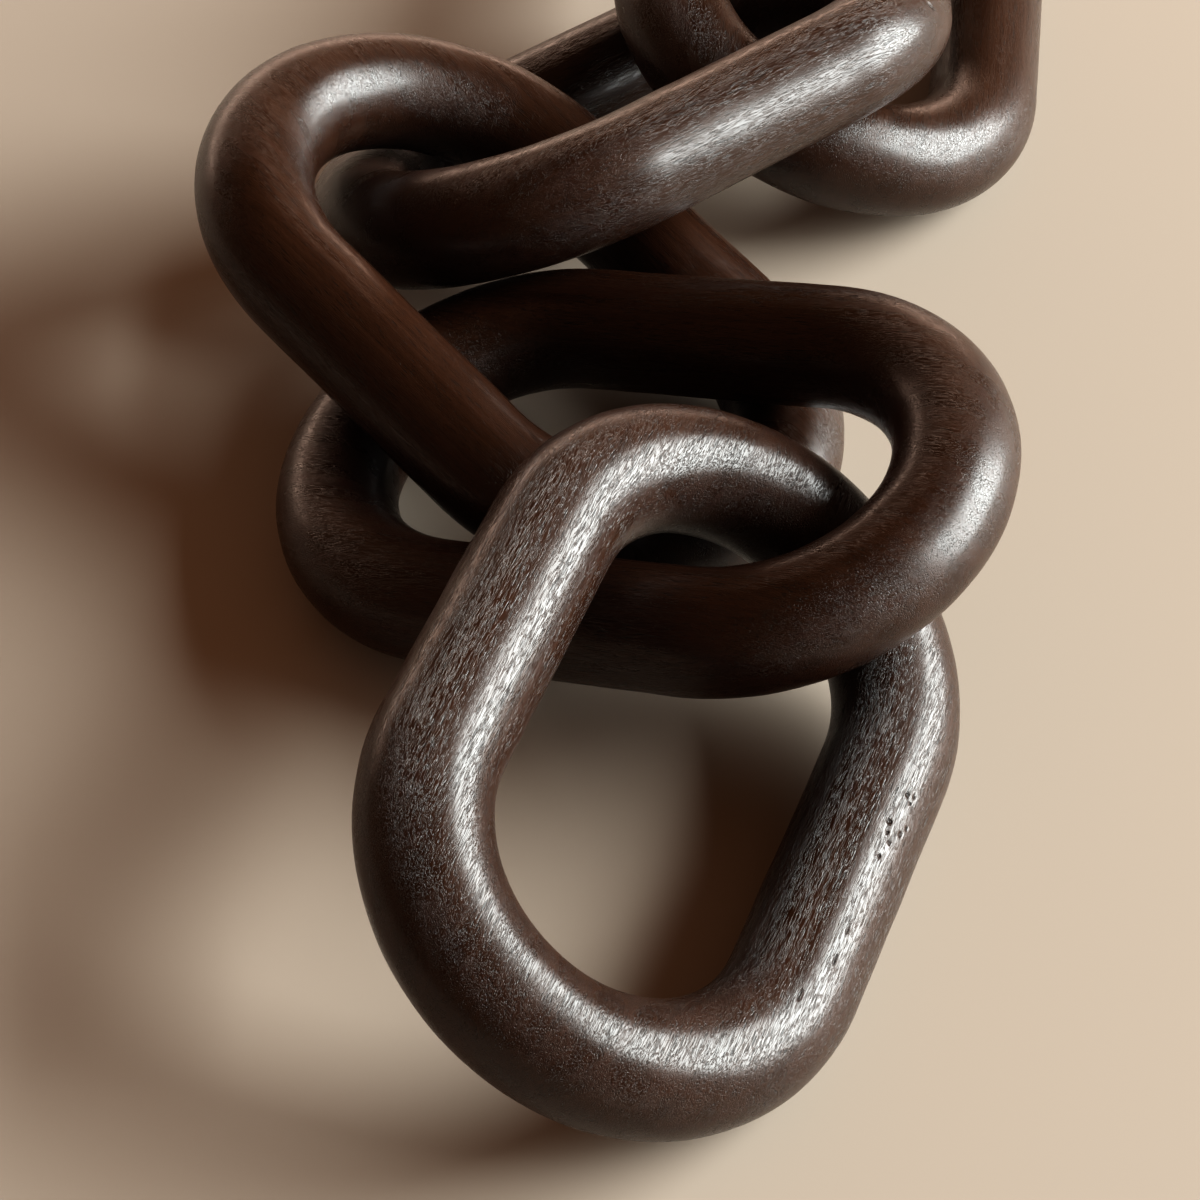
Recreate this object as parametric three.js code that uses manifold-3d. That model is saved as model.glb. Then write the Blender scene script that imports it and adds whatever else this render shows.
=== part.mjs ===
// A chain of five carved wooden links lying loose on a table.
// Millimetres, +Z up, the table is the plane z = 0, and the chain runs away from the viewer along +Y.
//
// Every link is one closed ring of round bar: two straight sides joined by two half-round bends.
// Each link passes through the next one, leans on it, and touches the table at one low spot,
// which is sanded to a small flat so that the chain lies still.

import * as THREE from 'three';
import { mergeVertices } from 'three/addons/utils/BufferGeometryUtils.js';
import Module from 'manifold-3d';

// The size of a link, the same for all five
const BAR_DIAMETER = 28;
const LINK_LENGTH = 173;
const LINK_WIDTH = 115;

// How deep the sanded flat cuts into a link's lowest spot
const FLAT_DEPTH = 0.4;

// How finely the round bar is faceted
const BAR_SIDES = 24;
const STEPS_PER_BEND = 16;
const STEPS_PER_SIDE = 3;

// Where each link lies: the middle of its eye seen from above, then three angles in degrees.
// heading turns its long axis from +X towards +Y, rise lifts the far end of that axis,
// and lean turns the link about its own long axis.
const LINKS = [
  { name: 'front_link', x: -1.5, y: -139.8, heading: 70.5, rise: 2.2, lean: 30.6 },
  { name: 'second_link', x: -9.6, y: -55.9, heading: -22.4, rise: 16.3, lean: 5.5 },
  { name: 'middle_link', x: -37.7, y: -0.6, heading: -43.5, rise: -14.0, lean: -10.7 },
  { name: 'fourth_link', x: -13.1, y: 68.2, heading: 39.8, rise: 0.7, lean: -30.7 },
  { name: 'end_link', x: 37.8, y: 139.3, heading: 85.0, rise: 0.1, lean: 20.8 },
];

// Dark espresso stain under a satin lacquer
const STAINED_WOOD = { color: 0x2e2320, roughness: 0.38, metalness: 0 };

// The centre line of the bar follows from the outside sizes
const BAR_RADIUS = BAR_DIAMETER / 2;
const BEND_RADIUS = LINK_WIDTH / 2 - BAR_RADIUS;
const HALF_SIDE = LINK_LENGTH / 2 - LINK_WIDTH / 2;

const wasm = await Module();
wasm.setup();

// One loop round the link's centre line, counter-clockwise from the start of the side at -Y.
// A station is a point of the centre line and the direction that faces away from the eye.
function linkStations() {
  const stations = [];
  for (const end of [1, -1]) {
    for (let step = 0; step < STEPS_PER_SIDE; step += 1) {
      const along = HALF_SIDE * (2 * step / STEPS_PER_SIDE - 1);
      stations.push({
        point: new THREE.Vector3(end * along, -end * BEND_RADIUS, 0),
        outward: new THREE.Vector3(0, -end, 0),
      });
    }
    for (let step = 0; step < STEPS_PER_BEND; step += 1) {
      const angle = Math.PI * (step / STEPS_PER_BEND - 0.5 * end);
      const outward = new THREE.Vector3(Math.cos(angle), Math.sin(angle), 0);
      const bendCentre = new THREE.Vector3(end * HALF_SIDE, 0, 0);
      stations.push({
        point: outward.clone().multiplyScalar(BEND_RADIUS).add(bendCentre),
        outward,
      });
    }
  }
  return stations;
}

// The ring: a circle of bar at every station, each joined to the next, the last to the first
function ringGeometry() {
  const stations = linkStations();
  const positions = [];
  for (const { point, outward } of stations) {
    for (let side = 0; side < BAR_SIDES; side += 1) {
      const turn = 2 * Math.PI * side / BAR_SIDES;
      const reach = BAR_RADIUS * Math.cos(turn);
      positions.push(
        point.x + outward.x * reach,
        point.y + outward.y * reach,
        BAR_RADIUS * Math.sin(turn),
      );
    }
  }

  const triangles = [];
  for (let station = 0; station < stations.length; station += 1) {
    const here = station * BAR_SIDES;
    const next = ((station + 1) % stations.length) * BAR_SIDES;
    for (let side = 0; side < BAR_SIDES; side += 1) {
      const above = (side + 1) % BAR_SIDES;
      triangles.push(here + side, next + side, next + above);
      triangles.push(here + side, next + above, here + above);
    }
  }

  const geometry = new THREE.BufferGeometry();
  geometry.setAttribute('position', new THREE.Float32BufferAttribute(positions, 3));
  geometry.setIndex(triangles);
  return geometry;
}

// A closed geometry as a solid that can be cut
function toSolid(geometry) {
  const bare = geometry.clone();
  bare.deleteAttribute('normal');
  bare.deleteAttribute('uv');
  const merged = mergeVertices(bare);
  return new wasm.Manifold(new wasm.Mesh({
    numProp: 3,
    vertProperties: merged.attributes.position.array,
    triVerts: new Uint32Array(merged.index.array),
  }));
}

// A cut solid back as a geometry, with flat-shaded facets
function toGeometry(solid) {
  const mesh = solid.getMesh();
  const geometry = new THREE.BufferGeometry();
  geometry.setAttribute('position', new THREE.Float32BufferAttribute(mesh.vertProperties, 3));
  geometry.setIndex([...mesh.triVerts]);
  return geometry;
}

// Sets a link down on the table and sands its lowest spot flat.
// The block that is cut away lies under the table, seen from the link's own tilted frame.
function sandFlat(link) {
  const lowest = new THREE.Box3().setFromObject(link, true).min.z;
  link.position.z -= lowest + FLAT_DEPTH;
  link.updateMatrixWorld(true);

  const blockSize = 2 * LINK_LENGTH;
  const block = new THREE.BoxGeometry(blockSize, blockSize, blockSize);
  block.translate(link.position.x, link.position.y, -blockSize / 2);
  block.applyMatrix4(link.matrixWorld.clone().invert());
  link.geometry = toGeometry(toSolid(link.geometry).subtract(toSolid(block)));
  link.geometry.computeVertexNormals();
}

function makeLink({ name, x, y, heading, rise, lean }) {
  const material = new THREE.MeshStandardMaterial(STAINED_WOOD);
  const link = new THREE.Mesh(ringGeometry(), material);
  link.name = name;
  link.position.set(x, y, 0);
  link.rotation.set(
    THREE.MathUtils.degToRad(lean),
    THREE.MathUtils.degToRad(-rise),
    THREE.MathUtils.degToRad(heading),
    'ZYX',
  );
  sandFlat(link);
  return link;
}

// The origin is the point of the table under the middle of the chain's box
function centreOnTable(chain) {
  const middle = new THREE.Box3().setFromObject(chain, true).getCenter(new THREE.Vector3());
  chain.position.set(-middle.x, -middle.y, 0);
  return chain;
}

const chain = new THREE.Group();
for (const place of LINKS) {
  chain.add(makeLink(place));
}

export default centreOnTable(chain);
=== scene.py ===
"""A chain of five carved wooden links, stained dark and lacquered, lying loose on a pale table.

Each link is a fine mesh laid exactly where the frame's own link lies: a round bar bent into a
long ring, with the faint ripple that carving tools leave and a small sanded flat where it rests.
Two of the links have small torn pits, with painted shade darkening their inside.
The wood's open pores run along each link's own long axis, as in a ring sawn from one board.
"""

import logging
import math
from dataclasses import dataclass
from enum import Enum
from typing import ClassVar

import bpy
import numpy as np
from mathutils import Matrix, Vector


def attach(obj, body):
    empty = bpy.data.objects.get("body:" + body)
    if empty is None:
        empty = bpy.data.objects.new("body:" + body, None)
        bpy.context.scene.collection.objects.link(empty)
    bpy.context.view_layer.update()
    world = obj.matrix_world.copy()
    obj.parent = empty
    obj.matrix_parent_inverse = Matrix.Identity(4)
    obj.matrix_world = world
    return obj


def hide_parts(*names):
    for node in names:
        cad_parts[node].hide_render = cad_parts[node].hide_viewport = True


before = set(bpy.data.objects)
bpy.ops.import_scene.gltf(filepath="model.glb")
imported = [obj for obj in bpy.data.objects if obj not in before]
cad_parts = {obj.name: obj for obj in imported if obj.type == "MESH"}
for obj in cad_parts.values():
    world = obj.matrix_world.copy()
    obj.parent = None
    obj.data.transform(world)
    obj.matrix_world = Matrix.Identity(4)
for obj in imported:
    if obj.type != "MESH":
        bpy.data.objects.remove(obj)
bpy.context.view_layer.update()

LOG = logging.getLogger("wooden_chain")
MM = 0.001
BODY = "root"
BOARD_PLACE = "place_in_board"
END_GRAIN = "end_grain"
BOARD_STRIDE = (211.0, 97.0, 53.0)
NOISE_MEAN = 0.5
DAYLIGHT = (0.94, 1.0, 0.99)
LAMPLIGHT = (1.0, 0.74, 0.60)
EMBER = (1.0, 0.52, 0.28)
ROOM_GLOW = 0.17
LIGHTS_AIM = Vector((0.0, 0.0, 30 * MM))


class LinkName(Enum):
    """The five links, from the one nearest the camera to the one farthest away."""

    FRONT = "front_link"
    SECOND = "second_link"
    MIDDLE = "middle_link"
    FOURTH = "fourth_link"
    END = "end_link"


class Axis(Enum):
    """The coordinates of a link's own frame: along it, across its eye, and through its eye."""

    ALONG = 0
    ACROSS = 1
    THROUGH = 2


class Sum(Enum):
    """The sums of one or two values that the wood's nodes work out."""

    ADD = "ADD"
    SUBTRACT = "SUBTRACT"
    MULTIPLY = "MULTIPLY"
    MAXIMUM = "MAXIMUM"
    ABSOLUTE = "ABSOLUTE"


@dataclass(frozen=True)
class LinkPlace:
    """Where a link lies and how big it is, measured on the frame's own solid."""

    centre: np.ndarray
    axes: np.ndarray
    length: float
    width: float
    bar: float
    MOMENT_DIVISOR: ClassVar[float] = 20.0

    @classmethod
    def of_node(cls, node: bpy.types.Object) -> "LinkPlace":
        """Measures a link by the middle and the principal axes of its volume.

        Args:
            node: the link's solid in the frame.

        Returns:
            The link's middle, its axes as rows (along, across, through) and its three sizes.
        """
        mesh = node.data
        mesh.calc_loop_triangles()
        points = np.array([v.co for v in mesh.vertices])
        corners = points[np.array([t.vertices for t in mesh.loop_triangles])]
        volumes = cls._volumes(corners)
        middles = corners.sum(axis=1) / 4
        centre = (volumes[:, None] * middles).sum(axis=0) / volumes.sum()
        spread = cls._second_moment(corners - centre)
        _, vectors = np.linalg.eigh(spread)
        along = vectors[:, 2] * (1 if vectors[1, 2] > 0 else -1)
        through = vectors[:, 0] * (1 if vectors[2, 0] > 0 else -1)
        axes = np.array([along, np.cross(through, along), through])
        reach = np.ptp((points - centre) @ axes.T, axis=0)
        return cls(centre, axes, *reach)

    @staticmethod
    def _volumes(corners: np.ndarray) -> np.ndarray:
        """Works out the volumes of the tetrahedra between the origin and each triangle."""
        crossed = np.cross(corners[:, 1], corners[:, 2])
        return np.einsum("ij,ij->i", corners[:, 0], crossed) / 6

    @classmethod
    def _second_moment(cls, corners: np.ndarray) -> np.ndarray:
        """Adds up the second moments of the tetrahedra between the origin and each triangle.

        Args:
            corners: triangles as (count, 3 corners, 3 coordinates), about the link's middle.

        Returns:
            The 3 by 3 matrix whose eigenvectors are the principal axes.
        """
        volumes = cls._volumes(corners)
        sums = corners.sum(axis=1)
        own = np.einsum("nki,nkj,n->ij", corners, corners, volumes)
        shared = np.einsum("ni,nj,n->ij", sums, sums, volumes)
        return (own + shared) / cls.MOMENT_DIVISOR

    def placed(self, points: np.ndarray) -> np.ndarray:
        """Takes points from the link's own coordinates into the frame's."""
        return points @ self.axes + self.centre

    def height_of(self, points: np.ndarray) -> np.ndarray:
        """Heights above the table of points in the link's own coordinates."""
        return points @ self.axes[:, 2] + self.centre[2]


@dataclass(frozen=True)
class ToolRipple:
    """The faint unevenness that hand tools and sanding leave on the bar, as soft waves."""

    least: float = 0.16 * MM
    depth: float = 0.10 * MM
    shortest: float = 11 * MM
    longest: float = 34 * MM
    waves: int = 36
    crest: float = 2.0

    def height(self, points: np.ndarray, seed: int) -> np.ndarray:
        """Works out how far the surface lies under the true bar.

        Args:
            points: surface points in the link's own coordinates.
            seed: one number per link, so that no two links are alike.

        Returns:
            The depth at each point, which keeps the surface inside the frame's faceted solid.
        """
        chance = np.random.default_rng(seed)
        directions = chance.normal(size=(self.waves, 3))
        directions /= np.linalg.norm(directions, axis=1)[:, None]
        lengths = chance.uniform(self.shortest, self.longest, self.waves)
        phases = chance.uniform(0, 2 * math.pi, self.waves)
        angles = points @ (directions * (2 * math.pi / lengths)[:, None]).T + phases
        mixed = np.sin(angles).sum(axis=1) / math.sqrt(self.waves / 2)
        return self.least + self.depth * (1 + np.clip(mixed / self.crest, -1, 1))


@dataclass(frozen=True)
class Pit:
    """A small torn hollow in the wood, at a place in the link's own millimetres."""

    place: tuple[float, float, float]
    length: float
    width: float
    depth: float = 0.30
    rim: float = 0.25
    ample: float = 2.0

    @property
    def reach(self) -> tuple[float, float, float]:
        """Half its length along the grain and half its width across it, and ample depth."""
        return (self.length / 2, self.width / 2, self.ample)

    def dent(self, points: np.ndarray) -> np.ndarray:
        """Works out how far the hollow sinks the bar's surface, with a rim that slopes in softly.

        Args:
            points: surface points in the link's own coordinates.

        Returns:
            The depth at each point, in metres.
        """
        reach = np.array(self.reach) + self.rim
        away = np.linalg.norm((points / MM - self.place) / reach, axis=1)
        inside = np.clip(1 - away, 0, 1)
        return self.depth * MM * inside * inside * (3 - 2 * inside)


@dataclass(frozen=True)
class StainedWood:
    """Open-pored wood under a dark espresso stain and a satin lacquer.

    Scales are in cycles a millimetre, first along the grain and then across it, and depths are in
    millimetres. A range is the part of a noise that is stretched over the whole of what it drives.
    """

    stain: tuple[float, float, float] = (0.024, 0.0090, 0.0042)
    stain_light: tuple[float, float, float] = (0.038, 0.0152, 0.0076)
    # Dark colour of the open pores; inside the torn pits it is also used as painted shade.
    pore: tuple[float, float, float] = (0.007, 0.0026, 0.0014)
    roughness: float = 0.28
    roughness_spread: float = 0.06
    specular: float = 0.50
    lacquer: float = 0.12
    lacquer_roughness: float = 0.28
    ring_scale: tuple[float, float] = (0.008, 0.16)
    fibre_scale: tuple[float, float] = (0.025, 0.9)
    figure_range: tuple[float, float] = (0.80, 1.20)
    noise_range: tuple[float, float] = (0.3, 0.7)
    waver: float = 0.7
    waver_scale: tuple[float, float] = (0.11, 0.22)
    furrow_scale: tuple[float, float] = (0.20, 2.9)
    furrow_depth: float = 0.032
    furrow_end_share: float = 0.35
    groove_width: float = 0.060
    groove_depth: float = 0.075
    pore_scale: tuple[float, float] = (0.20, 2.3)
    pore_depth: float = 0.060
    pore_end_share: float = 1.8
    pore_roughness: float = 0.42
    pore_reach: tuple[float, float] = (0.22, 0.38)
    pore_edge: tuple[float, float] = (-0.05, 0.20)
    crowd_scale: tuple[float, float] = (0.03, 0.30)
    crowd_range: tuple[float, float] = (0.35, 0.65)
    end_grain_range: tuple[float, float] = (0.35, 0.9)
    skin_scale: tuple[float, float] = (2.4, 4.5)
    skin_depth: float = 0.012
    tear_scale: tuple[float, float] = (0.8, 1.6)
    tear_reach: tuple[float, float] = (0.4, 1.5)
    pit_slope: float = 0.9
    pit_depth: float = 0.45
    # How far into a torn pit the painted shade ramps up, and how dark that painted shade gets.
    pit_shade_ramp: float = 0.5
    pit_shade_strength: float = 0.6

    def material(
        self,
        name: str,
        seed: int,
        pits: tuple[Pit, ...],
        relief: float,
    ) -> bpy.types.Material:
        """Builds the wood for one link, cut from its own place in the board.

        Args:
            name: the material's name.
            seed: one number per link, which moves the grain.
            pits: the torn hollows in this link.
            relief: how much of the grain's full depth is left after sanding.

        Returns:
            The material, which reads the link's own coordinates in millimetres.
        """
        made = bpy.data.materials.new(name)
        made.use_nodes = True
        tree = NodeBench(made.node_tree)
        shader = tree.nodes["Principled BSDF"]
        straight = tree.grain_space(seed)
        grain = tree.wavered(straight, self.waver_scale, self.waver)
        pores = self._pores(tree, grain)
        torn = self._torn(tree, grain, pits)
        rings = tree.noise(straight, self.ring_scale, detail=2.0)
        fibres = tree.noise(grain, self.fibre_scale, detail=3.0)
        figure = tree.span(tree.math(Sum.ADD, rings, fibres), *self.figure_range)
        wood = tree.mix(figure, self.stain, self.stain_light)
        # Painted shade: the colour inside the torn pits is darkened towards the pore colour,
        # standing in for the shade that falls in the hollows.
        pit_shade = tree.span(torn, 0.0, self.pit_shade_ramp, 0.0, self.pit_shade_strength) if pits else torn
        dark = tree.math(Sum.MAXIMUM, pores, pit_shade)
        tree.link(tree.mix(dark, wood, self.pore), shader.inputs["Base Color"])
        half = self.roughness_spread / 2
        polish = tree.span(rings, *self.noise_range, self.roughness - half, self.roughness + half)
        polish = tree.math(Sum.MAXIMUM, polish, tree.math(Sum.MULTIPLY, pores, self.pore_roughness))
        tree.link(polish, shader.inputs["Roughness"])
        shader.inputs["Specular IOR Level"].default_value = self.specular
        shader.inputs["Coat Weight"].default_value = self.lacquer
        shader.inputs["Coat Roughness"].default_value = self.lacquer_roughness
        height = tree.math(Sum.SUBTRACT, self._ridges(tree, grain), self._hollows(tree, pores))
        skin = tree.noise(grain, self.skin_scale, detail=2.0)
        height = tree.math(Sum.ADD, height, tree.math(Sum.MULTIPLY, skin, self.skin_depth))
        height = tree.math(Sum.SUBTRACT, height, tree.math(Sum.MULTIPLY, torn, self.pit_depth))
        tree.link(tree.bump(height, MM * relief), shader.inputs["Normal"])
        return made

    def _pores(self, tree: "NodeBench", grain: bpy.types.NodeSocket) -> bpy.types.NodeSocket:
        """Scatters the cut vessels: long dashes along the grain, dots on the end grain.

        Args:
            tree: the bench that makes the nodes.
            grain: the coordinates along and across the grain, in millimetres.

        Returns:
            A value of 1 in a pore and 0 between them.
        """
        cells = tree.voronoi(grain, self.pore_scale)
        crowd = tree.noise(grain, self.crowd_scale, detail=2.0)
        reach = tree.span(crowd, *self.crowd_range, *self.pore_reach)
        return tree.soft_step(tree.math(Sum.SUBTRACT, reach, cells), *self.pore_edge)

    def _ridges(self, tree: "NodeBench", grain: bpy.types.NodeSocket) -> bpy.types.NodeSocket:
        """Raises the fibres between fine wavering grooves, lower where the end grain shows.

        Args:
            tree: the bench that makes the nodes.
            grain: the coordinates along and across the grain, in millimetres.

        Returns:
            The height in millimetres.
        """
        furrows = tree.noise(grain, self.furrow_scale, detail=2.0)
        aside = tree.math(Sum.ABSOLUTE, tree.math(Sum.SUBTRACT, furrows, NOISE_MEAN))
        beside = tree.soft_step(aside, 0.0, self.groove_width)
        grooved = tree.math(Sum.MULTIPLY, beside, self.groove_depth)
        height = tree.math(Sum.ADD, tree.math(Sum.MULTIPLY, furrows, self.furrow_depth), grooved)
        return tree.math(Sum.MULTIPLY, height, self._by_cut(tree, 1.0, self.furrow_end_share))

    def _hollows(self, tree: "NodeBench", pores: bpy.types.NodeSocket) -> bpy.types.NodeSocket:
        """Sinks the pores, deeper where they open on the end grain.

        Args:
            tree: the bench that makes the nodes.
            pores: 1 in a pore.

        Returns:
            The depth in millimetres.
        """
        depth = self._by_cut(tree, self.pore_depth, self.pore_depth * self.pore_end_share)
        return tree.math(Sum.MULTIPLY, pores, depth)

    def _torn(
        self,
        tree: "NodeBench",
        grain: bpy.types.NodeSocket,
        pits: tuple[Pit, ...],
    ) -> bpy.types.NodeSocket | float:
        """Marks the torn hollows, with ragged edges.

        Args:
            tree: the bench that makes the nodes.
            grain: the coordinates along and across the grain, in millimetres.
            pits: the hollows, none or some.

        Returns:
            A value of 1 in a hollow and 0 between them.
        """
        torn = 0.0
        if not pits:
            return torn
        ragged = tree.noise(grain, self.tear_scale, detail=2.0)
        edge = tree.span(ragged, *self.noise_range, *self.tear_reach)
        for pit in pits:
            away = tree.distance_from(tree.stored(BOARD_PLACE, "Vector"), pit.place, pit.reach)
            sunk = tree.span(tree.math(Sum.SUBTRACT, edge, away), 0.0, self.pit_slope)
            torn = tree.math(Sum.MAXIMUM, torn, sunk)
        return torn

    def _by_cut(self, tree: "NodeBench", along: float, across: float) -> bpy.types.NodeSocket:
        """Goes from one value where the wood is cut along the grain to another where across it."""
        return tree.span(tree.stored(END_GRAIN), *self.end_grain_range, along, across)


class NodeBench:
    """Makes and links shader nodes in a few words."""

    def __init__(self, tree: bpy.types.ShaderNodeTree) -> None:
        """Takes over a material's node tree."""
        self.tree = tree
        self.nodes = tree.nodes

    def link(self, source: bpy.types.NodeSocket, target: bpy.types.NodeSocket) -> None:
        """Links one socket to another."""
        self.tree.links.new(source, target)

    def feed(self, target: bpy.types.NodeSocket, value: object) -> None:
        """Links a socket to the target, or sets a plain value on it.

        Args:
            target: the socket that is fed.
            value: a socket or a plain value.
        """
        if isinstance(value, bpy.types.NodeSocket):
            self.link(value, target)
        else:
            target.default_value = value

    def stored(self, name: str, output: str = "Fac") -> bpy.types.NodeSocket:
        """Reads a value that the mesh holds at each point.

        Args:
            name: the value's name.
            output: the kind of value that is read, a number or a vector.

        Returns:
            The value.
        """
        made = self.nodes.new("ShaderNodeAttribute")
        made.attribute_name = name
        return made.outputs[output]

    def grain_space(self, seed: int) -> bpy.types.NodeSocket:
        """Gives the link's own coordinates in millimetres, moved to a part of the board of its own.

        Args:
            seed: one number per link.

        Returns:
            The coordinates: x along the grain, y and z across it.
        """
        mapping = self.nodes.new("ShaderNodeMapping")
        mapping.inputs["Location"].default_value = [seed * stride for stride in BOARD_STRIDE]
        self.link(self.stored(BOARD_PLACE, "Vector"), mapping.inputs["Vector"])
        return mapping.outputs["Vector"]

    def stretched(
        self,
        grain: bpy.types.NodeSocket,
        scale: tuple[float, float],
    ) -> bpy.types.NodeSocket:
        """Scales coordinates by one number along the grain and another across it.

        Args:
            grain: the coordinates in millimetres.
            scale: cycles a millimetre along and across the grain.

        Returns:
            The scaled coordinates.
        """
        mapping = self.nodes.new("ShaderNodeMapping")
        mapping.inputs["Scale"].default_value = (scale[0], scale[1], scale[1])
        self.link(grain, mapping.inputs["Vector"])
        return mapping.outputs["Vector"]

    def wavered(
        self,
        grain: bpy.types.NodeSocket,
        scale: tuple[float, float],
        reach: float,
    ) -> bpy.types.NodeSocket:
        """Lets the fibres waver to and fro across the grain.

        Args:
            grain: the straight coordinates in millimetres.
            scale: cycles a millimetre along and across the grain.
            reach: the width of the waver in millimetres.

        Returns:
            The wavering coordinates.
        """
        made = self.nodes.new("ShaderNodeTexNoise")
        made.inputs["Scale"].default_value = 1.0
        made.inputs["Detail"].default_value = 1.0
        self.link(self.stretched(grain, scale), made.inputs["Vector"])
        offset = self.nodes.new("ShaderNodeMapping")
        offset.inputs["Scale"].default_value = (0.0, reach, reach)
        self.link(made.outputs["Color"], offset.inputs["Vector"])
        summed = self.nodes.new("ShaderNodeVectorMath")
        self.link(grain, summed.inputs[0])
        self.link(offset.outputs["Vector"], summed.inputs[1])
        return summed.outputs["Vector"]

    def noise(
        self,
        grain: bpy.types.NodeSocket,
        scale: tuple[float, float],
        detail: float,
    ) -> bpy.types.NodeSocket:
        """Makes soft noise.

        Args:
            grain: the coordinates in millimetres.
            scale: cycles a millimetre along and across the grain.
            detail: how many finer layers it has.

        Returns:
            The noise, about 0.5 on average.
        """
        made = self.nodes.new("ShaderNodeTexNoise")
        made.inputs["Scale"].default_value = 1.0
        made.inputs["Detail"].default_value = detail
        self.link(self.stretched(grain, scale), made.inputs["Vector"])
        return made.outputs["Fac"]

    def voronoi(
        self,
        grain: bpy.types.NodeSocket,
        scale: tuple[float, float],
    ) -> bpy.types.NodeSocket:
        """Scatters points, one in each cell.

        Args:
            grain: the coordinates in millimetres.
            scale: cells a millimetre along and across the grain.

        Returns:
            The distance to the nearest point, in cell widths.
        """
        made = self.nodes.new("ShaderNodeTexVoronoi")
        made.inputs["Scale"].default_value = 1.0
        self.link(self.stretched(grain, scale), made.inputs["Vector"])
        return made.outputs["Distance"]

    def distance_from(
        self,
        point: bpy.types.NodeSocket,
        centre: tuple[float, float, float],
        reach: tuple[float, float, float],
    ) -> bpy.types.NodeSocket:
        """Measures how far a point lies from a centre.

        Args:
            point: the coordinates.
            centre: the middle of an ellipsoid.
            reach: the ellipsoid's half axes.

        Returns:
            0 at the centre and 1 on the ellipsoid.
        """
        mapping = self.nodes.new("ShaderNodeMapping")
        mapping.inputs["Scale"].default_value = [1 / r for r in reach]
        mapping.inputs["Location"].default_value = [-c / r for c, r in zip(centre, reach)]
        self.link(point, mapping.inputs["Vector"])
        made = self.nodes.new("ShaderNodeVectorMath")
        made.operation = "LENGTH"
        self.link(mapping.outputs["Vector"], made.inputs[0])
        return made.outputs["Value"]

    def math(self, kind: Sum, first: object, second: object = 0.0) -> bpy.types.NodeSocket:
        """Works out one sum.

        Args:
            kind: which sum.
            first: a value or a socket.
            second: a value or a socket, which a sum of one value passes over.

        Returns:
            The result.
        """
        made = self.nodes.new("ShaderNodeMath")
        made.operation = kind.value
        self.feed(made.inputs[0], first)
        self.feed(made.inputs[1], second)
        return made.outputs["Value"]

    def span(
        self,
        value: bpy.types.NodeSocket,
        low: float,
        high: float,
        to_low: float = 0.0,
        to_high: float = 1.0,
    ) -> bpy.types.NodeSocket:
        """Maps a range of values to another in a straight line, clamped.

        Args:
            value: the socket that is mapped.
            low: the start of its range.
            high: the end of its range.
            to_low: the result at the start and below it.
            to_high: the result at the end and above it.

        Returns:
            The mapped value.
        """
        made = self.nodes.new("ShaderNodeMapRange")
        self.link(value, made.inputs["Value"])
        ends = {"From Min": low, "From Max": high, "To Min": to_low, "To Max": to_high}
        for name, number in ends.items():
            made.inputs[name].default_value = number
        return made.outputs["Result"]

    def soft_step(
        self,
        value: bpy.types.NodeSocket,
        low: float,
        high: float,
    ) -> bpy.types.NodeSocket:
        """Rises smoothly from 0 to 1 between two values.

        Args:
            value: the socket that is mapped.
            low: where it begins to rise.
            high: where it has risen.

        Returns:
            The smoothed value.
        """
        stepped = self.span(value, low, high)
        stepped.node.interpolation_type = "SMOOTHSTEP"
        return stepped

    def mix(
        self,
        share: bpy.types.NodeSocket,
        first: object,
        second: object,
    ) -> bpy.types.NodeSocket:
        """Mixes two colours, given as sockets or as red, green and blue.

        Args:
            share: 0 for the first and 1 for the second.
            first: a colour or a colour socket.
            second: a colour or a colour socket.

        Returns:
            The mixed colour.
        """
        made = self.nodes.new("ShaderNodeMix")
        made.data_type = "RGBA"
        self.link(share, made.inputs["Factor"])
        sockets = [s for s in made.inputs if s.type == "RGBA"]
        for socket, colour in zip(sockets, (first, second)):
            self.feed(socket, (*colour, 1.0) if isinstance(colour, tuple) else colour)
        return next(s for s in made.outputs if s.type == "RGBA")

    def bump(self, height: bpy.types.NodeSocket, distance: float) -> bpy.types.NodeSocket:
        """Turns a height into a shading normal.

        Args:
            height: the height of the surface.
            distance: the height of 1, in metres.

        Returns:
            The shading normal.
        """
        made = self.nodes.new("ShaderNodeBump")
        made.inputs["Strength"].default_value = 1.0
        made.inputs["Distance"].default_value = distance
        self.link(height, made.inputs["Height"])
        return made.outputs["Normal"]


@dataclass(frozen=True)
class Fineness:
    """How finely a link's mesh is divided, round the bar and round the ring."""

    bar_sides: int
    ring_steps: int


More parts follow.
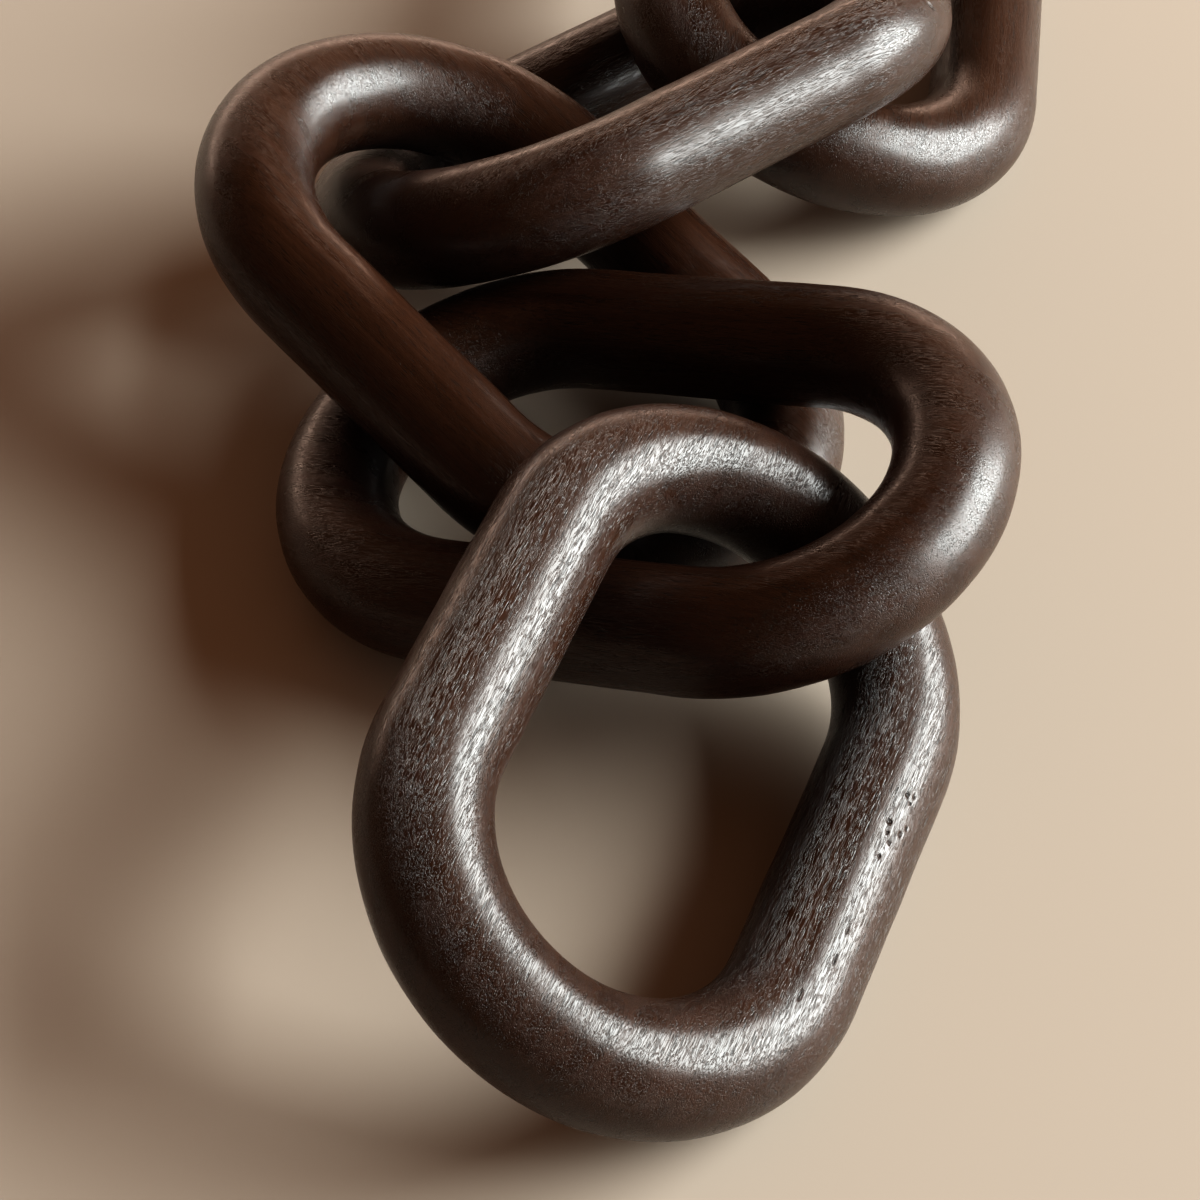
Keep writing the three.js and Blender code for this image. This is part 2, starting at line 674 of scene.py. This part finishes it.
@dataclass
class CarvedLink:
    """One link: a round bar bent into a closed ring with two straight sides and two round bends."""

    name: LinkName
    seed: int
    wood: StainedWood
    ripple: ToolRipple
    relief: float
    pits: tuple[Pit, ...]
    fineness: Fineness
    crowding: float = 0.5

    def build(self) -> bpy.types.Object:
        """Makes the link's mesh where the frame's own link lies, and dresses it.

        Returns:
            The finished link, riding on the chain's body in place of the frame's own solid.
        """
        place = LinkPlace.of_node(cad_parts[self.name.value])
        points, normals = self._skin(place)
        mesh = bpy.data.meshes.new(self.name.value + "_carved")
        mesh.from_pydata(place.placed(points).tolist(), [], self._faces().tolist())
        mesh.shade_smooth()
        board = mesh.attributes.new(BOARD_PLACE, "FLOAT_VECTOR", "POINT")
        board.data.foreach_set("vector", (points / MM).astype(np.float32).ravel())
        end_grain = mesh.attributes.new(END_GRAIN, "FLOAT", "POINT")
        end_grain.data.foreach_set("value", np.abs(normals[:, Axis.ALONG.value]).astype(np.float32))
        wood = self.wood.material(self.name.value + "_wood", self.seed, self.pits, self.relief)
        mesh.materials.append(wood)
        piece = bpy.data.objects.new(self.name.value + "_carved", mesh)
        bpy.context.scene.collection.objects.link(piece)
        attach(piece, BODY)
        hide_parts(self.name.value)
        middle = np.round(place.centre / MM, 1)
        LOG.info("%s: %d faces, middle at %s mm", piece.name, len(mesh.polygons), middle)
        return piece

    def _steps(self, place: LinkPlace) -> tuple[np.ndarray, np.ndarray]:
        """Shares out the mesh, evenly round a plain ring and more closely about a pitted spot.

        Args:
            place: the link's sizes.

        Returns:
            The distances walked along the bar's centre line, and the angles about the bar.
        """
        lap = 2 * (place.length - place.width) + math.pi * (place.width - place.bar)
        walked = np.arange(self.fineness.ring_steps) * lap / self.fineness.ring_steps
        turn = np.arange(self.fineness.bar_sides) * 2 * math.pi / self.fineness.bar_sides
        if not self.pits:
            return walked, turn
        spot = np.mean([pit.place for pit in self.pits], axis=0) * MM
        middle, outward = self._centre_line(place, walked)
        nearest = np.linalg.norm(middle - spot, axis=1).argmin()
        facing = math.atan2(spot[Axis.THROUGH.value], (spot - middle[nearest]) @ outward[nearest])
        phase = 2 * math.pi * (walked - walked[nearest]) / lap
        walked = walked - self.crowding * lap / (2 * math.pi) * np.sin(phase)
        return walked, turn - self.crowding * np.sin(turn - facing)

    def _centre_line(self, place: LinkPlace, walked: np.ndarray) -> tuple[np.ndarray, np.ndarray]:
        """Follows the middle of the bar round the ring.

        Args:
            place: the link's sizes.
            walked: distances along the centre line from the start of the side at -Y.

        Returns:
            The points of the bar's centre line, and at each the direction away from the eye.
        """
        bend = (place.width - place.bar) / 2
        half_side = (place.length - place.width) / 2
        arc = math.pi * bend
        half_lap = 2 * half_side + arc
        walked = walked % (2 * half_lap)
        end = np.where(walked < half_lap, 1.0, -1.0)
        local = walked % half_lap
        on_bend = local > 2 * half_side
        angle = np.where(on_bend, (local - 2 * half_side) / bend, 0.0) - math.pi / 2
        outward = np.stack([end * np.cos(angle), end * np.sin(angle), 0 * angle], axis=1)
        start = np.where(on_bend, half_side, local - half_side)
        return outward * bend + np.stack([end * start, 0 * start, 0 * start], axis=1), outward

    def _skin(self, place: LinkPlace) -> tuple[np.ndarray, np.ndarray]:
        """Sweeps the bar's round section along the centre line and sands the flat.

        Args:
            place: the link's place and sizes.

        Returns:
            The surface points in the link's own coordinates, section after section, and the
            direction in which the round bar faces at each.
        """
        walked, turn = self._steps(place)
        middle, outward = self._centre_line(place, walked)
        through = np.array([0.0, 0.0, 1.0])
        cosine, sine = np.cos(turn)[None, :, None], np.sin(turn)[None, :, None]
        normals = (outward[:, None] * cosine + through * sine).reshape(-1, 3)
        bar = np.repeat(middle, self.fineness.bar_sides, axis=0) + normals * place.bar / 2
        sunk_in = self.ripple.height(bar, self.seed)
        for pit in self.pits:
            sunk_in = sunk_in + pit.dent(bar)
        points = bar - normals * sunk_in[:, None]
        sunk = np.minimum(place.height_of(points), 0.0)
        return points - sunk[:, None] * place.axes[:, 2], normals

    def _faces(self) -> np.ndarray:
        """Numbers the quads between each section and the next, the last joined to the first.

        Returns:
            Four point numbers for each quad.
        """
        sides, steps = self.fineness.bar_sides, self.fineness.ring_steps
        step = np.arange(steps)[:, None]
        side = np.arange(sides)[None, :]
        here, after = step * sides, (step + 1) % steps * sides
        up = (side + 1) % sides
        return np.stack([here + side, after + side, after + up, here + up], axis=-1).reshape(-1, 4)


PLAIN_MESH = Fineness(bar_sides=112, ring_steps=480)
PITTED_MESH = Fineness(bar_sides=150, ring_steps=640)

RELIEF = {
    LinkName.FRONT: 0.95,
    LinkName.SECOND: 0.65,
    LinkName.MIDDLE: 0.45,
    LinkName.FOURTH: 0.55,
    LinkName.END: 0.5,
}

PITS = {
    LinkName.FRONT: (
        Pit((16.6, -45.2, 13.6), 1.5, 1.1),
        Pit((17.6, -46.9, 13.3), 1.4, 0.7),
        Pit((15.4, -46.6, 13.4), 0.9, 0.6),
        Pit((8.1, -43.8, 13.7), 2.0, 1.6),
        Pit((5.6, -44.3, 13.7), 1.6, 0.8),
        Pit((3.6, -45.6, 13.6), 1.2, 0.8),
        Pit((7.4, -47.4, 13.2), 1.8, 1.2),
        Pit((9.8, -48.2, 12.9), 1.2, 0.7),
        Pit((-0.8, -44.7, 13.7), 1.8, 0.8),
        Pit((-20.8, -44.6, 13.7), 3.6, 0.6),
        Pit((-28.6, -44.6, 13.7), 3.0, 0.7),
        Pit((-40.6, -40.7, 13.6), 3.8, 0.7),
    ),
    LinkName.FOURTH: (
        Pit((58.5, -48.1, 4.5), 2.6, 1.4),
        Pit((55.6, -48.4, 5.2), 1.8, 1.2),
    ),
}


@dataclass(frozen=True)
class PaleTable:
    """The plain pale table top that the chain lies on. It isn't part of the chain."""

    size: float = 12.0
    colour: tuple[float, float, float] = (0.42, 0.357, 0.30)
    roughness: float = 0.60
    specular: float = 0.25

    def build(self) -> bpy.types.Object:
        """Makes the table top, one flat sheet at height 0.

        Returns:
            The table top.
        """
        half = self.size / 2
        corners = [(-half, -half, 0), (half, -half, 0), (half, half, 0), (-half, half, 0)]
        mesh = bpy.data.meshes.new("table_top")
        mesh.from_pydata(corners, [], [(0, 1, 2, 3)])
        sheet = bpy.data.objects.new("table_top", mesh)
        bpy.context.scene.collection.objects.link(sheet)
        paint = bpy.data.materials.new("table_paint")
        paint.use_nodes = True
        shader = paint.node_tree.nodes["Principled BSDF"]
        shader.inputs["Base Color"].default_value = (*self.colour, 1.0)
        shader.inputs["Roughness"].default_value = self.roughness
        shader.inputs["Specular IOR Level"].default_value = self.specular
        mesh.materials.append(paint)
        return sheet


@dataclass(frozen=True)
class Softbox:
    """A flat studio light that faces the chain, with its width level."""

    name: str
    bearing: float
    elevation: float
    distance: float
    width: float
    height: float
    power: float
    colour: tuple[float, float, float]

    def build(self, aim: Vector) -> bpy.types.Object:
        """Hangs the light.

        Args:
            aim: the point that it faces.

        Returns:
            The light. Its bearing turns from +Y, away from the camera, towards +X, the right.
        """
        bearing, elevation = math.radians(self.bearing), math.radians(self.elevation)
        flat = math.cos(elevation)
        towards = Vector((math.sin(bearing) * flat, math.cos(bearing) * flat, math.sin(elevation)))
        lamp = bpy.data.lights.new(self.name, "AREA")
        lamp.shape = "RECTANGLE"
        lamp.size, lamp.size_y = self.width, self.height
        lamp.energy = self.power
        lamp.color = self.colour
        hung = bpy.data.objects.new(self.name, lamp)
        bpy.context.scene.collection.objects.link(hung)
        hung.location = aim + towards * self.distance
        hung.rotation_mode = "QUATERNION"
        hung.rotation_quaternion = (-towards).to_track_quat("-Z", "Y")
        return hung


SOFTBOXES = (
    Softbox(
        "key_softbox",
        bearing=84,
        elevation=24,
        distance=5.0,
        width=4.2,
        height=3.5,
        power=765,
        colour=DAYLIGHT,
    ),
    Softbox(
        "rim_softbox",
        bearing=-18,
        elevation=6,
        distance=2.4,
        width=4.2,
        height=0.5,
        power=22,
        colour=LAMPLIGHT,
    ),
)


@dataclass(frozen=True)
class StudioCamera:
    """The camera over the near end of the chain, at the photograph's viewing angle."""

    aim: tuple[float, float, float] = (-7.6 * MM, -62.8 * MM, 0.0)
    distance: float = 814.9 * MM
    elevation: float = 46.30
    roll: float = 2.04
    focal_length: float = 108.6
    sensor: float = 36.0

    def build(self) -> bpy.types.Object:
        """Places the camera and makes it the scene's.

        Returns:
            The camera, which looks along +Y and down.
        """
        elevation = math.radians(self.elevation)
        back = Vector((0.0, -math.cos(elevation), math.sin(elevation)))
        data = bpy.data.cameras.new("studio_camera")
        data.lens = self.focal_length
        data.sensor_width = self.sensor
        camera = bpy.data.objects.new("studio_camera", data)
        bpy.context.scene.collection.objects.link(camera)
        camera.location = Vector(self.aim) + back * self.distance
        level = (-back).to_track_quat("-Z", "Y").to_matrix()
        rolled = level @ Matrix.Rotation(math.radians(self.roll), 3, "Z")
        camera.rotation_mode = "QUATERNION"
        camera.rotation_quaternion = rolled.to_quaternion()
        bpy.context.scene.camera = camera
        return camera


def light_room(strength: float) -> None:
    """Fills the room with an even warm glow.

    Args:
        strength: how bright it is.
    """
    world = bpy.data.worlds.new("studio_room")
    world.use_nodes = True
    background = world.node_tree.nodes["Background"]
    background.inputs["Color"].default_value = (*EMBER, 1.0)
    background.inputs["Strength"].default_value = strength
    bpy.context.scene.world = world


def main() -> None:
    """Builds the camera, the links, the table and the lights in order."""
    logging.basicConfig(level=logging.INFO, format="%(name)s: %(message)s")
    bpy.context.scene.view_settings.view_transform = "Standard"
    bpy.context.scene.view_settings.look = "High Contrast"
    StudioCamera().build()
    wood, ripple = StainedWood(), ToolRipple()
    for seed, name in enumerate(LinkName, start=1):
        pits = PITS.get(name, ())
        fineness = PITTED_MESH if pits else PLAIN_MESH
        CarvedLink(name, seed, wood, ripple, RELIEF[name], pits, fineness).build()
    table = PaleTable().build()
    LOG.info("%s: under the chain", table.name)
    for softbox in SOFTBOXES:
        hung = softbox.build(LIGHTS_AIM)
        LOG.info("%s: hung at %s m", hung.name, np.round(hung.location, 2))
    light_room(ROOM_GLOW)


if __name__ == "__main__":
    main()
